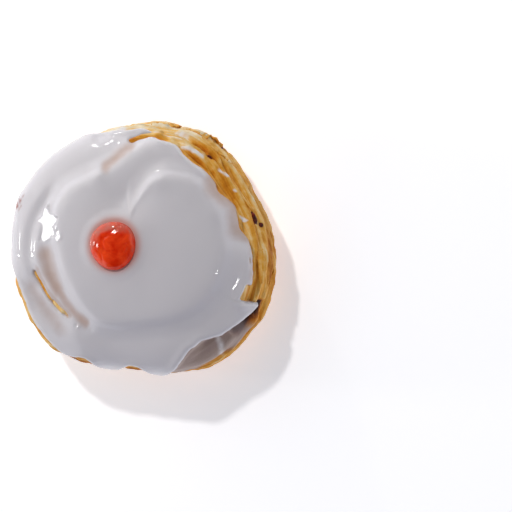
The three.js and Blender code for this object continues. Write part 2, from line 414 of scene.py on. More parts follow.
@dataclass(frozen=True)
class BakedCrust:
    """Crust of egg-washed sweet dough: cream where it split, gold on top, brown where it baked hardest, with
    some painted light and shade.
    """

    # Egg wash on flaky layers bakes to a dull sheen, so the light on it is soft and broken up
    name: str = "baked_sweet_dough"
    tones: Stops = (
        (0.0, "#F4E6C8"), (1.0, "#341309"), (0.18, "#F0CA84"), (0.36, "#E8AC48"), (0.52, "#D88E24"),
        (0.68, "#C07010"), (0.82, "#8F4C0C"), (0.92, "#5E2C0C"),
    )
    # Mauve of the film of icing at the lower right, made darker as painted shade where the side faces away
    # from the light
    film: str = "#A39493"
    dab: str = "#F0EEF0"
    roughness: float = 0.6
    strip_length: float = 14.0
    strip_width: float = 1.15
    blotch_size: float = 3.0
    # The pores of a crust are finer, and are drawn as coarse as they need to show
    crumb_size: float = 0.6

    def material(self) -> Material:
        """Crust that takes its browning, with painted light and shade, its layers and the icing smeared on it
        from the mesh.
        """
        material, tree = new_material(self.name)
        place = add(tree, "TexCoord", out="Object")
        axes = add(tree, "SeparateXYZ", {0: place}).node.outputs
        bake_with_painted_shading, smear, film, down = (
            add(tree, "Attribute", out="Fac", attribute_name=name) for name in CRUST_MARKS
        )
        lie = add(tree, "CombineXYZ", {0: axes["X"], 1: axes["Y"], 2: down})
        size = (per_metre(self.strip_length), per_metre(self.strip_length), per_metre(self.strip_width))
        layer = add(tree, "VectorMath", {0: lie, 1: size}, operation="MULTIPLY")
        scale = {"Scale": 1.0, "Detail": 4.0, "Roughness": 0.62}
        strip = add(tree, "TexNoise", {"Vector": layer, **scale})
        scale = {"Scale": per_metre(self.blotch_size), "Detail": 5.0, "Roughness": 0.62}
        blotch = add(tree, "TexNoise", {"Vector": place, **scale})
        # Strips are paler on their crests and browner in their hollows: partly the crust's own tone, partly
        # painted shade
        pale_crests_shaded_hollows = {"Value": strip, "From Min": 0.3, "From Max": 0.7, "To Min": 0.15, "To Max": -0.15}
        lines = add(tree, "MapRange", pale_crests_shaded_hollows)
        browner = {"Value": blotch, "From Min": 0.25, "From Max": 0.75, "To Min": -0.13, "To Max": 0.13}
        spots = add(tree, "MapRange", browner)
        lined = add(tree, "Math", {0: bake_with_painted_shading, 1: lines}, operation="ADD")
        tone = add(tree, "Math", {0: lined, 1: spots}, operation="ADD")
        colour = add(tree, "ValToRGB", {"Fac": tone}, stops=self.tones)
        ragged = add(tree, "Math", {0: smear, 1: spots}, operation="ADD")
        edge = {"Value": ragged, "From Min": 0.15, "From Max": 0.85}
        over = add(tree, "MapRange", edge, interpolation_type="SMOOTHSTEP")
        for share, tint in ((film, self.film), (over, self.dab)):
            colour = add(tree, "Mix", {0: share, 6: colour, 7: linear(tint)}, out=2, data_type="RGBA")
        scale = {"Scale": per_metre(self.crumb_size), "Detail": 3.0, "Roughness": 0.65}
        crumb = add(tree, "TexNoise", {"Vector": place, **scale})
        bare = add(tree, "MapRange", {"Value": film, "To Min": 1.0, "To Max": 0.1})
        relief = add(tree, "Math", {0: strip, 1: bare}, operation="MULTIPLY")
        flaky = add(tree, "Bump", {"Height": relief, "Strength": 0.6, "Distance": 0.6 * MM})
        rough = {"Height": crumb, "Strength": 0.35, "Distance": 0.25 * MM, "Normal": flaky}
        bump = add(tree, "Bump", rough)
        wet = add(tree, "MapRange", {"Value": film, "To Min": self.roughness, "To Max": 0.35})
        inputs = {"Base Color": colour, "Roughness": wet, "Normal": bump, "IOR": 1.45}
        return surfaced(material, inputs)


@dataclass(frozen=True)
class WaterIcing:
    """Set sugar and water icing: white and glossy, and brownish where it is thin over the crust."""

    # Poured icing sets with a skin like glaze: soft white below, with small sharp highlights on top
    name: str = "set_water_icing"
    cover: Stops = (
        (0.0, "#C2924C"), (1.0, "#D8D6DD"), (0.28, "#B99C8E"), (0.65, "#C6B8B7"),
    )
    # Pinkish brown round the cherry: its red stain, darkened in part as painted contact shade
    cherry_stain_and_shade: str = "#C98577"
    fruit: str = "#8E3A22"
    roughness: float = 0.42
    ripple_size: float = 6.0

    def material(self) -> Material:
        """Icing that takes its cover, the cherry's stain with painted contact shade round it, and specks of
        fruit from the mesh.
        """
        material, tree = new_material(self.name)
        place = add(tree, "TexCoord", out="Object")
        cover, cherry_stain_and_shade, fleck = (
            add(tree, "Attribute", out="Fac", attribute_name=name) for name in ICING_MARKS
        )
        colour = add(tree, "ValToRGB", {"Fac": cover}, stops=self.cover)
        for share, tint in ((cherry_stain_and_shade, self.cherry_stain_and_shade), (fleck, self.fruit)):
            colour = add(tree, "Mix", {0: share, 6: colour, 7: linear(tint)}, out=2, data_type="RGBA")
        scale = {"Scale": per_metre(self.ripple_size), "Detail": 2.0}
        ripple = add(tree, "TexNoise", {"Vector": place, **scale})
        bump = add(tree, "Bump", {"Height": ripple, "Strength": 0.2, "Distance": 0.4 * MM})
        inputs = {
            "Base Color": colour,
            "Roughness": self.roughness,
            "Normal": bump,
            "IOR": 1.45,
            "Subsurface Weight": 0.12,
            "Subsurface Radius": (1.0, 0.85, 0.8),
            "Subsurface Scale": 1.5 * MM,
            "Coat Weight": 0.5,
            "Coat Roughness": 0.045,
        }
        return surfaced(material, inputs)


@dataclass(frozen=True)
class GlaceCherry:
    """Cherry candied in syrup: clear red flesh under a wet skin, lighter where light comes through, with a
    faint painted glow.
    """

    # Syrup leaves the skin wet and lets light into the flesh, so it glows red and has sharp glints; part of
    # the glow is painted, as light the flesh gives off on its own
    name: str = "candied_cherry"
    tones: Stops = ((0.32, "#C42206"), (0.72, "#EC5022"))
    milk: str = "#AC6C5E"
    # Colour of the painted glow, which lightens the cherry's shaded rim
    glow: str = "#E0300C"
    flesh_size: float = 4.0
    skin_size: float = 2.0

    def material(self) -> Material:
        """Flesh that passes on red light and gives off a faint painted glow, under a wet skin with a film of
        icing that the mesh gives.
        """
        material, tree = new_material(self.name)
        place = add(tree, "TexCoord", out="Object")
        scale = {"Scale": per_metre(self.flesh_size), "Detail": 3.0, "Distortion": 0.6}
        flesh = add(tree, "TexNoise", {"Vector": place, **scale})
        red = add(tree, "ValToRGB", {"Fac": flesh}, stops=self.tones)
        film = add(tree, "Attribute", out="Fac", attribute_name="film")
        colour = add(tree, "Mix", {0: film, 6: red, 7: linear(self.milk)}, out=2, data_type="RGBA")
        scale = {"Scale": per_metre(self.skin_size), "Detail": 2.0}
        skin = add(tree, "TexNoise", {"Vector": place, **scale})
        bump = add(tree, "Bump", {"Height": skin, "Strength": 0.25, "Distance": 0.3 * MM})
        inputs = {
            "Base Color": colour,
            "Roughness": 0.12,
            "Normal": bump,
            "IOR": 1.4,
            "Subsurface Weight": 0.4,
            "Subsurface Radius": (1.0, 0.2, 0.1),
            "Subsurface Scale": 3.0 * MM,
            # Painted glow: the flesh gives off a little red light of its own
            "Emission Color": linear(self.glow),
            "Emission Strength": 0.18,
        }
        return surfaced(material, inputs)


@dataclass(frozen=True)
class DriedFruit:
    """Skin of a baked sultana: dark red-brown, wrinkled and a little sticky."""

    # Baking dries the skin into wrinkles, with a sticky shine along their crests
    name: str = "baked_sultana_skin"
    tones: Stops = ((0.3, "#330B07"), (0.75, "#85271A"))
    wrinkle_size: float = 1.6

    def material(self) -> Material:
        """Wrinkled dark skin."""
        material, tree = new_material(self.name)
        place = add(tree, "TexCoord", out="Object")
        scale = {"Scale": per_metre(self.wrinkle_size), "Detail": 2.0}
        wrinkle = add(tree, "TexNoise", {"Vector": place, **scale})
        colour = add(tree, "ValToRGB", {"Fac": wrinkle}, stops=self.tones)
        bump = add(tree, "Bump", {"Height": wrinkle, "Strength": 0.8, "Distance": 0.5 * MM})
        inputs = {"Base Color": colour, "Roughness": 0.38, "Normal": bump, "IOR": 1.45}
        return surfaced(material, inputs)


@dataclass(frozen=True)
class PaleFloor:
    """Plain white table that glows a little, as a light table does."""

    # An even white, so bright that the table shows no edge
    name: str = "white_table"
    colour: str = "#F4F4F5"
    glow_colour: str = "#EEF1FA"
    glow: float = 0.48

    def material(self) -> Material:
        """Even matt white."""
        inputs = {
            "Base Color": linear(self.colour),
            "Roughness": 0.9,
            "Emission Color": linear(self.glow_colour),
            "Emission Strength": self.glow,
        }
        return surfaced(new_material(self.name)[0], inputs)


def sheet(columns: int, rows: int) -> tuple[Mesh, Array, Array]:
    """Starts a round piece from a sheet that wrap() closes.

    Args:
        columns: Faces round the piece.
        rows: Faces from its top to its bottom.

    Returns:
        The mesh, and each vertex's angle about the axis and share of the way from top to bottom.
    """
    mesh = bmesh.new()
    bmesh.ops.create_grid(mesh, x_segments=columns, y_segments=rows, size=1.0)
    place = np.array([vertex.co for vertex in mesh.verts])
    return mesh, 180.0 * place[:, 0], (1.0 - place[:, 1]) / 2


def mark(mesh: Mesh, name: str, values: Array) -> None:
    """Gives each vertex a value that the finish reads by name."""
    layer = mesh.verts.layers.float.new(name)
    for vertex, value in zip(mesh.verts, values.tolist()):
        vertex[layer] = value


def wrap(mesh: Mesh, points: Array) -> None:
    """Moves the vertices to points in millimetres, joins the open edges and turns the faces outwards."""
    for vertex, place in zip(mesh.verts, (points * MM).tolist()):
        vertex.co = place
    bmesh.ops.remove_doubles(mesh, verts=mesh.verts, dist=WELD * MM)
    bmesh.ops.recalc_face_normals(mesh, faces=mesh.faces)


def place_object(mesh: Mesh, name: str, material: Material) -> Object:
    """Puts a mesh in the scene as an object.

    Args:
        mesh: Finished mesh, which is freed.
        name: Name of the object.
        material: Its finish.

    Returns:
        The object.
    """
    data = bpy.data.meshes.new(name)
    mesh.to_mesh(data)
    mesh.free()
    data.materials.append(material)
    placed = bpy.data.objects.new(name, data)
    bpy.context.scene.collection.objects.link(placed)
    return placed


def finish_piece(mesh: Mesh, name: str, material: Material) -> Object:
    """Makes a smooth-shaded piece that rides on the bun.

    Args:
        mesh: Finished mesh, which is freed.
        name: Name of the piece.
        material: Its finish.

    Returns:
        The piece.
    """
    for face in mesh.faces:
        face.smooth = True
    piece = place_object(mesh, name, material)
    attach(piece, BODY)
    return piece


@dataclass
class CoiledDough:
    """The coiled bun, with baked layers on its bare side."""

    form: BunForm
    columns: int = 560
    rows: int = 170
    side_share: float = 0.92
    crowding: float = 0.45
    seam_depth: float = 2.4
    seam_width: float = 2.6
    # Baked layers of the bare side
    layer_pitch: float = 5.4
    layer_depth: float = 0.6
    layer_drifts: tuple[Triple, ...] = ((2, 2.6, 30), (5, 1.3, 18))
    layer_start: float = 4.0
    layer_foot: Pair = (1.0, 6.0)
    strips: Grain = Grain(3.2, (19.0, 19.0, 2.3), 3.7, 3)
    strip_depth: float = 0.75
    flakes: Grain = Grain(1.0, (13.0, 13.0, 3.2), 11.3)
    flake_depth: float = 0.7
    flake_edge: Pair = (0.05, 0.16)
    mean_depth: float = 0.5
    # Share of the fine strips' depth up to the first of these angles, with all of it from the second
    calm_share: float = 0.45
    rough_from: Pair = (25.0, 55.0)
    fine_start: Pair = (-0.5, 2.0)
    # Ledge and film of icing at the lower right
    ledge_depth: float = 1.1
    ledge_span: tuple[Pair, Pair] = ((-76.0, -66.0), (-30.0, -38.0))
    ledge_run: float = 1.5
    film_cover: float = 0.9
    film_span: tuple[Pair, Pair] = ((-79.0, -73.0), (-30.0, -36.0))
    film_end: Pair = (14.0, 11.0)
    # Shares of the broad layers and of the fine strips that the film evens out
    film_evens: Pair = (0.8, 0.9)
    # Browning, with painted shade in the hollows of the layers and strips
    mean_tone: float = 0.38
    strip_tone_and_shade: float = 0.11
    patches: Grain = Grain(0.2, (22.0, 22.0, 3.0), 21.9)
    crest_tone_and_shade: float = 0.05
    foot_tone: float = 0.25
    foot_height: float = 8.0
    # Lines in the crust, as angle about the axis and distance down
    hollows: Strokes = (
        Stroke((-38, 50.2), (-23, 56), 2.1, 2.9, 3), Stroke((51, 49.8), (59, 49), 1.3, 1.1, 4),
        Stroke((14, 46), (10, 45.8), 1.6, 0.5, 2), Stroke((77, 46.4), (82, 45.8), 2, -1.1, 4),
        Stroke((86, 45), (91, 43), 1.8, -1.2, 4), Stroke((-167.5, 38.4), (-151, 35.9), 1.2, -1.15, 3),
        Stroke((-146.5, 35.2), (-140, 34.3), 1.2, -1.1, 3.5), Stroke((-166, 52), (-132, 53), 4, -1.2, 7),
    )
    # Strokes that brown or pale the crust. Most are edges where it baked darker. The pale stroke on the top
    # of the bare side is painted light, and the dark strokes under the lobe at the lower right and near the
    # base at the bottom are painted shade
    browned_and_painted_shading: Strokes = (
        Stroke((-36, 60), (34, 61), 4, 0.14, 14), Stroke((64, 53), (104, 53), 8, -0.2, 10),
        Stroke((44, 45.8), (62, 43), 1.4, 0.14, 4), Stroke((24, 49.2), (41, 47.4), 1.3, 0.18, 4),
        Stroke((74, 45.4), (90, 45), 2, 0.26, 4), Stroke((90, 43.6), (97, 39.6), 2, 0.22, 3),
        Stroke((50, 50.4), (60, 49), 1.6, 0.3, 4), Stroke((-38, 50.4), (-23, 56), 2.5, 0.75, 3),
        Stroke((-124, 56), (-116, 56), 5, 0.4, 4), Stroke((-95, 56), (-88, 56), 5, 0.4, 4),
    )
    smears: Strokes = (
        Stroke((53, 46.5), (64.5, 44.9), 0.8, 0.95, 2), Stroke((38.5, 50.2), (43, 48.2), 0.9, 0.85, 2),
        Stroke((30, 49.9), (31, 49.6), 0.5, 0.8, 1.2), Stroke((15, 48.2), (17.5, 46.9), 1, 0.85, 1.5),
        Stroke((66, 50.6), (71, 50.9), 0.8, 0.7, 3), Stroke((97, 50.5), (104, 49.5), 1.4, 0.8, 4),
        Stroke((68, 47.4), (80, 47.8), 0.6, 0.6, 5),
    )
    smear_patches: Grain = Grain(0.8, 3.0, 31.1, 3, mean=0.85)
    drips: Strokes = (
        Stroke((-50.5, 53.5), (-44.5, 45.5), 3.4, 0.55, 1.5),
        Stroke((-19.5, 46.6), (-15.5, 46), 1.1, 0.25, 2),
    )

    def layering(self, points: Array, angle: Array, down: Array) -> tuple[Array, Array]:
        """Works out the baked layers of the bare side.

        Args:
            points: Points of the plain dome.
            angle: Angles about the axis, in degrees.
            down: Distances down the surface from the top.

        Returns:
            How far the layers stand out, and their fine strips from about -1 to 1.
        """
        below = down - self.form.edge(angle)
        drift = waves(self.layer_drifts, angle)
        broad = np.sin(2 * math.pi * (points[:, 2] + drift) / self.layer_pitch)
        spread = np.column_stack([points[:, :2], down + drift / 2])
        strip = 1 - np.abs(self.strips.at(spread))
        flake = step(*self.flake_edge, self.flakes.at(spread))
        ledge = self.ledge_depth * span(self.ledge_span, angle) * step(0, self.ledge_run, below)
        film = self.filming(angle, down)
        even, calm = (1 - share * film for share in self.film_evens)
        rough = (self.calm_share + (1 - self.calm_share) * step(*self.rough_from, angle)) * calm
        fine = self.strip_depth * strip + self.flake_depth * flake - self.mean_depth
        layers = self.layer_depth * broad * step(0, self.layer_start, below) * even - ledge
        layers += rough * fine * step(*self.fine_start, below) - strokes(self.hollows, angle, down)
        return layers * step(*self.layer_foot, points[:, 2]), strip

    def surface(self, angle: Array, down: Array) -> Array:
        """Points of the dough's surface at angles and distances down."""
        points, normals = self.form.dome(angle, down)
        coil = self.form.coil_relief(points, self.seam_depth, self.seam_width)
        return points + normals * (coil + self.layering(points, angle, down)[0])[:, None]

    def browning(self, points: Array, angle: Array, down: Array) -> Array:
        """How brown the crust is, from 0 for cream to 1 for burnt, with painted light and shade in places.

        Args:
            points: Points of the plain dome.
            angle: Angles about the axis, in degrees.
            down: Distances down the surface from the top.

        Returns:
            Values for each point.
        """
        layers, strip = self.layering(points, angle, down)
        spread = np.column_stack([points[:, :2], down])
        tone = self.mean_tone - self.strip_tone_and_shade * strip + self.patches.at(spread)
        tone += strokes(self.browned_and_painted_shading, angle, down) - self.crest_tone_and_shade * layers
        return tone + self.foot_tone * step(self.foot_height, 0.0, points[:, 2])

    def filming(self, angle: Array, down: Array) -> Array:
        """How thick the film of icing is that runs on below the icing's edge at the lower right."""
        below = down - self.form.edge(angle)
        return self.film_cover * span(self.film_span, angle) * step(*self.film_end, below)

    def smearing(self, points: Array, angle: Array, down: Array) -> Array:
        """How much of the crust white icing covers, from 0 to 1."""
        dabs = strokes(self.smears, angle, down) * self.smear_patches.at(points)
        return np.clip(dabs + strokes(self.drips, angle, down), 0.0, 1.0)

    def build(self, crust: Material) -> Object:
        """Models and dresses the dough.

        Args:
            crust: Finish of the dough.

        Returns:
            The piece.
        """
        mesh, angle, fall = sheet(self.columns, self.rows)
        share = np.minimum(fall / self.side_share, 1.0)
        down = self.form.length * share * (1 + self.crowding * (1 - share))
        plain = self.form.dome(angle, down)[0]
        points = self.surface(angle, down)
        base = fall > self.side_share
        points[base] *= ((1 - fall[base]) / (1 - self.side_share))[:, None]
        points[base, 2] = 0.0
        bake_with_painted_shading, smear = self.browning(plain, angle, down), self.smearing(plain, angle, down)
        for name, values in zip(CRUST_MARKS, (bake_with_painted_shading, smear, self.filming(angle, down), down * MM)):
            mark(mesh, name, values)
        wrap(mesh, points)
        piece = finish_piece(mesh, "dough", crust)
        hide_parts("coil_bun")
        return piece


@dataclass(frozen=True)
class Flake:
    """One loose strip of crust, from its root to its lifted tip, each given as angle and distance down."""

    root: Pair
    tip: Pair
    width: float
    lift: float
    tone: float


@dataclass
class LooseFlakes:
    """Strips of crust that lift off the bare side."""

    dough: CoiledDough
    columns: int = 36
    rows: int = 8
    thickness: float = 0.5
    raggedness: float = 0.5
    seed: float = 71.3
    tears: float = 6.0
    bluntness: float = 0.4
    least_width: float = 0.02
    root_lift: float = 0.15
    curl: float = 1.7
    droop: float = 0.5
    under_tone: float = 0.15
    flakes: tuple[Flake, ...] = (
        Flake((70, 57.5), (52.5, 61.5), 5, 1.7, 0.4), Flake((60, 53), (45, 55.5), 3.4, 0.7, 0.3),
        Flake((44, 57.5), (30, 59), 3.8, 0.8, 0.36), Flake((88, 55.5), (72, 56.5), 4, 0.8, 0.34),
        Flake((33, 52), (18, 53.5), 2.6, 0.5, 0.34), Flake((6, 58), (24, 59.5), 3.4, 0.6, 0.42),
        Flake((4, 51), (-14, 52), 2.8, 0.4, 0.34), Flake((-30, 61), (-6, 60), 3.6, 0.6, 0.46),
    )

    def build(self, crust: Material) -> Object:
        """Models and dresses the flakes as one mesh.

        Args:
            crust: Finish of the dough.

        Returns:
            The piece.
        """
        mesh = bmesh.new()
        layers = [mesh.verts.layers.float.new(name) for name in CRUST_MARKS]
        for index, flake in enumerate(self.flakes):
            grid = bmesh.ops.create_grid(mesh, x_segments=self.columns, y_segments=self.rows, size=0.5)
            made = grid["verts"]
            flat = np.array([vertex.co for vertex in made])
            run, side = flat[:, 0] + 0.5, flat[:, 1]
            edges = np.column_stack([self.tears * run, np.sign(side), 0 * run])
            ragged = Grain(self.raggedness, 1.0, self.seed + index, mean=1.0).at(edges)
            taper = np.clip(4 * run * (1 - run), self.least_width, 1.0) ** self.bluntness
            width = flake.width * taper * ragged
            angle = flake.root[0] + (flake.tip[0] - flake.root[0]) * run
            down = flake.root[1] + (flake.tip[1] - flake.root[1]) * run + side * width
            lift = self.root_lift + flake.lift * run**self.curl - self.droop * np.abs(side) * (1 - run)
            points = self.dough.surface(angle, down) + self.dough.form.dome(angle, down)[1] * lift[:, None]
            for vertex, place, fall in zip(made, (points * MM).tolist(), down):
                vertex.co = place
                vertex[layers[0]] = flake.tone
                vertex[layers[3]] = fall * MM
        top = set(mesh.verts)
        bmesh.ops.recalc_face_normals(mesh, faces=mesh.faces)
        bmesh.ops.solidify(mesh, geom=mesh.faces[:], thickness=self.thickness * MM)
        for vertex in mesh.verts:
            if vertex not in top:
                vertex[layers[0]] += self.under_tone
        return finish_piece(mesh, "loose_flakes", crust)


@dataclass(frozen=True)
class Facet:
    """Small flat in a wet or set surface, which catches the light as a star, a spot or a streak."""

    centre: Triple
    facing: Triple
    size: float
    soft: float = 0.6
    rays: int = 0
    turn: float = 0.0
    ripple: float = 0.0
    stretch: float = 1.0
    crisp: float = 0.2
    depth: Pair = (5.0, 3.0)
    ripple_size: float = 2.4
    seed: float = 17.3
    waist: float = 0.36
    waist_power: float = 0.8
    bulges: tuple[Triple, ...] = ((3, 0.13, 1.0), (2, -0.14, 0.0), (7, 0.07, 2.0))

    def flatten(self, points: Array) -> Array:
        """Presses points near the centre onto the flat.

        Args:
            points: Points of the piece.

        Returns:
            The points, moved along the way the flat faces.
        """
        facing = np.array(self.facing) / np.linalg.norm(self.facing)
        away = points - np.array(self.centre)
        height = away @ facing
        level = away - np.outer(height, facing)
        lie = math.radians(self.turn)
        spin = np.arctan2(level[:, 1], level[:, 0]) - lie
        waist = self.waist * np.abs(np.sin(self.rays * spin / 2)) ** self.waist_power
        uneven = sum(size * np.cos(count * spin + phase) for count, size, phase in self.bulges)
        reach = self.size * (1 - waist - (self.rays > 0) * uneven)
        ahead = level @ np.array((math.cos(lie), math.sin(lie), 0.0))
        apart = np.sqrt(np.sum(level**2, axis=1) - (1 - self.stretch**-2) * ahead**2)
        press = step(reach + self.soft, reach - self.crisp, apart) * step(*self.depth, np.abs(height))
        near = press > 0
        middle = np.average(height[near], weights=press[near])
        height[near] -= middle + Grain(self.ripple, self.ripple_size, self.seed).at(points[near])
        return points - np.outer(press * height, facing)


@dataclass
class IcingCoat:
    """Icing over the top, with a beaded edge, thin patches and cracks down to the crust."""

    form: BunForm
    dough: CoiledDough
    columns: int = 560
    rows: int = 170
    outside_share: float = 0.88
    mean_reach: float = 49.0
    edge_power: int = 4
    edge_samples: int = 2881
    thickness: float = 1.5
    # Thickness, and the thin side on the right
    least_thickness: float = 0.3
    thin_side: tuple[Pair, Pair] = ((0.0, 6.0), (50.0, 40.0))
    thin_run: Pair = (11.0, 0.5)
    thinning: float = 0.95
    tint_sink: float = 0.45
    cover_range: Pair = (-0.1, 1.2)
    # Edge
    edge_rounding: float = 1.5
    edge_wobble: Grain = Grain(0.45, 4.0, 51.3, 3)
    bead_rise: float = 0.35
    bead_inset: float = 2.0
    bead_width: float = 1.4
    # Unevenness, and the cherry's stain round it, partly painted contact shade
    line_wobble: Grain = Grain(0.5, 6.0, 81.7)
    swell: Grain = Grain(0.16, 13.0, 41.7)
    patches: Grain = Grain(0.12, 5.0, 91.3, 3)
    stain_and_shade_share: float = 0.75
    stain_and_shade_width: float = 1.7
    # Coil under the icing
    seam_depth: float = 1.5
    seam_width: float = 3.2
    seam_spread: float = 2.4
    last_share: float = 0.3
    bed: float = 0.7
    # Place of the cherry, and the lobe at the lower right
    cherry_at: Pair = (-3.2, 2.2)
    cherry_radius: float = 8.9
    collar_rise: float = 0.6
    collar_width: float = 5.0
    lobe_at: float = -23.0
    lobe_width: float = 4.0
    lobe_lean: Triple = (47.3, 8.0, 2.4)
    lobe_bend: Pair = (-0.5, 0.8)
    # Specks of fruit, as angle about the axis and distance down
    flecks: Strokes = (
        Stroke((154.5, 51.2), (159, 51.6), 0.9, 0.8, 3),
        Stroke((159.4, 48.7), (160.6, 48.7), 1.3, 1.2, 1.4), Stroke((157, 47.4), (158, 47.4), 1, 1.1, 1.2),
        Stroke((153.6, 46.6), (156, 46.8), 0.4, 0.5, 1), Stroke((159, 45.6), (161.5, 46.4), 0.4, 0.35, 1),
    )
    fleck_patches: Grain = Grain(1.4, 1.8, 13.1, mean=0.8)
    # Lines in the icing, as angle about the eye of the coil and distance from it
    cracks: Strokes = (
        Stroke((80, 42.2), (88, 41), 1.05, 3.2, 4), Stroke((91.5, 40.4), (95, 39.3), 0.9, 2.5, 4),
        Stroke((-165, 42.4), (-151.5, 40.6), 0.5, 1.9, 3), Stroke((-147, 40), (-140, 38.9), 0.6, 1.8, 3.5),
        Stroke((-27, 42.6), (-20, 42.3), 0.8, 3, 0.8),
    )
    # Lines where the icing thins over the crust. Those along the left trough, on the outer ring at the left
    # and by the lower end of the left crack are also darkened as painted shade
    thin_lines_and_painted_shade: Strokes = (
        Stroke((-16, 42.6), (-3, 40.4), 1.6, 0.66, 5), Stroke((-8.6, 40.7), (-6.8, 40.3), 0.6, 1.15, 1.5),
        Stroke((-166, 42.5), (-149, 40.3), 0.55, 1.2, 4), Stroke((-149, 40.3), (-137, 38.4), 0.75, 1.35, 3),
        Stroke((-167, 40.6), (-136, 37), 2.4, 0.85, 6), Stroke((-158, 45.2), (-138, 43.6), 4.4, 0.72, 16),
        Stroke((-150, 42.2), (-143, 41), 1.3, 0.6, 3), Stroke((96, 36.4), (113, 30.8), 4.6, 0.94, 8),
        Stroke((-174, 35.8), (-152, 35), 4.8, 0.96, 14), Stroke((-156, 34.6), (-125, 35), 3.2, 0.98, 6),
        Stroke((-26, 44.2), (-20, 44), 1.3, 0.9, 2), Stroke((-123, 35), (-121, 35.6), 1.6, 0.5, 3),
    )
    ridges: Strokes = (
        Stroke((71, 24), (95, 12.8), 3.2, 0.35, 14), Stroke((24, 30), (71, 24.4), 3.2, 0.3, 14),
        Stroke((60, 39.5), (84, 39.5), 3.4, 0.3, 14), Stroke((99, 36.6), (118, 31.2), 4.6, 0.8, 10),
        Stroke((110, 43.6), (114, 43.6), 2.2, -0.7, 4),
    )
    # Flats that catch the light
    facets: tuple[Facet, ...] = (
        Facet((-31.4, 10.1, 37.6), (-0.45, 0.02, 0.89), 6.3, 1.4, 5, 96.0, 0.02),
        Facet((-25.9, 5.6, 41.1), (-0.45, 0.02, 0.89), 2.2, 0.8, 3, 80.0),
        Facet((-38.6, -1.6, 34.5), (-0.44, 0.03, 0.9), 0.9),
        Facet((-45.0, -1.6, 32.2), (-0.44, 0.03, 0.9), 0.8),
        Facet((-20.1, -28.2, 35.6), (-0.46, 0.08, 0.88), 0.7),
        Facet((41.1, -11.8, 33.4), (0.456, -0.108, 0.883), 0.7, 0.5, turn=62.3, stretch=5.0),
    )

    def rim(self, angle: Array) -> Array:
        """How far down the icing runs at angles, with the raggedness of its edge."""
        turn = np.radians(angle)
        ring = self.form.radius * np.column_stack([np.cos(turn), np.sin(turn), np.zeros_like(turn)])
        return self.form.edge(angle) + self.edge_wobble.at(ring)

    def lean(self, angle: Array, down: Array) -> Array:
        """Angles of the mesh's columns, which lean over at the lobe on the lower right."""
        level, run, swing = self.lobe_lean
        bend = np.clip((down - level) / run, *self.lobe_bend)
        return angle + swing * hump(angle - self.lobe_at, self.lobe_width) * bend

    def from_cherry(self, points: Array) -> Array:
        """Distances of points from the side of the cherry, seen from above."""
        return np.linalg.norm(points[:, :2] - np.array(self.cherry_at), axis=1) - self.cherry_radius

    def insets(self, points: Array) -> Array:
        """Distances of points of the plain dome from the edge of the icing."""
        angle = np.linspace(-180.0, 180.0, self.edge_samples)
        tree = KDTree(len(angle))
        down = self.rim(angle)
        for index, place in enumerate(self.form.dome(self.lean(angle, down), down)[0].tolist()):
            tree.insert(place, index)
        tree.balance()
        return np.array([tree.find(place)[2] for place in points.tolist()])

    def surface(self, angle: Array, down: Array, inset: Array) -> tuple[Array, Array]:
        """Works out the outside of the icing.

        Args:
            angle: Angles about the axis, in degrees.
            down: Distances down the surface from the top.
            inset: Distances in from the edge.

        Returns:
            Points of the surface, and how well the icing hides the dough, from 0 to 1, lowered further where
            shade is painted.
        """
        points, normals = self.form.dome(angle, down)
        turn, out = self.form.spoke(points)
        out = out + self.line_wobble.at(points)
        seam = (self.seam_depth, self.seam_width, self.seam_spread, self.last_share)
        relief = self.form.coil_relief(points, *seam)
        relief += strokes(self.ridges, turn, out) + self.swell.at(points)
        tint = strongest(self.thin_lines_and_painted_shade, turn, out)
        side = span(self.thin_side, angle)
        body = self.thickness - self.thinning * side * step(*self.thin_run, inset)
        gap = strokes(self.cracks, turn, out)
        rounding = np.clip(inset / self.edge_rounding, 0.0, 1.0)
        bead = self.bead_rise * (1 - side) * hump(inset - self.bead_inset, self.bead_width)
        collar = self.collar_rise * step(self.collar_width, 0.0, self.from_cherry(points))
        full = np.maximum(body - self.tint_sink * tint, self.least_thickness) + bead
        lift = relief + full * np.sqrt(1 - (1 - rounding) ** 2) + collar - gap
        cover = step(*self.cover_range, body - tint - gap / 2 + self.patches.at(points))
        points = points + normals * lift[:, None]
        for facet in self.facets:
            points = facet.flatten(points)
        return points, cover

    def build(self, icing: Material) -> Object:
        """Models and dresses the icing.

        Args:
            icing: Finish of the icing.

        Returns:
            The piece.
        """
        mesh, angle, fall = sheet(self.columns, self.rows)
        outside = fall <= self.outside_share
        share = np.where(outside, fall / self.outside_share, (1 - fall) / (1 - self.outside_share))
        down = self.mean_reach * share + (self.rim(angle) - self.mean_reach) * share**self.edge_power
        angle = self.lean(angle, down)
        under, normals = self.form.dome(angle, down)
        points, cover = self.surface(angle, down, self.insets(under))
        crust = self.form.coil_relief(under, self.dough.seam_depth, self.dough.seam_width)
        under += normals * (crust - self.bed)[:, None]
        points[~outside] = under[~outside]
        away = np.maximum(self.from_cherry(points), 0.0)
        cherry_stain_and_shade = self.stain_and_shade_share * hump(away, self.stain_and_shade_width)
        ragged = self.fleck_patches.at(under)
        fleck = np.clip(strokes(self.flecks, angle, down) * ragged, 0.0, 1.0)
        for name, values in zip(ICING_MARKS, (cover, cherry_stain_and_shade, fleck)):
            mark(mesh, name, values)
        wrap(mesh, points)
        piece = finish_piece(mesh, "icing_coat", icing)
        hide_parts("icing")
        return piece


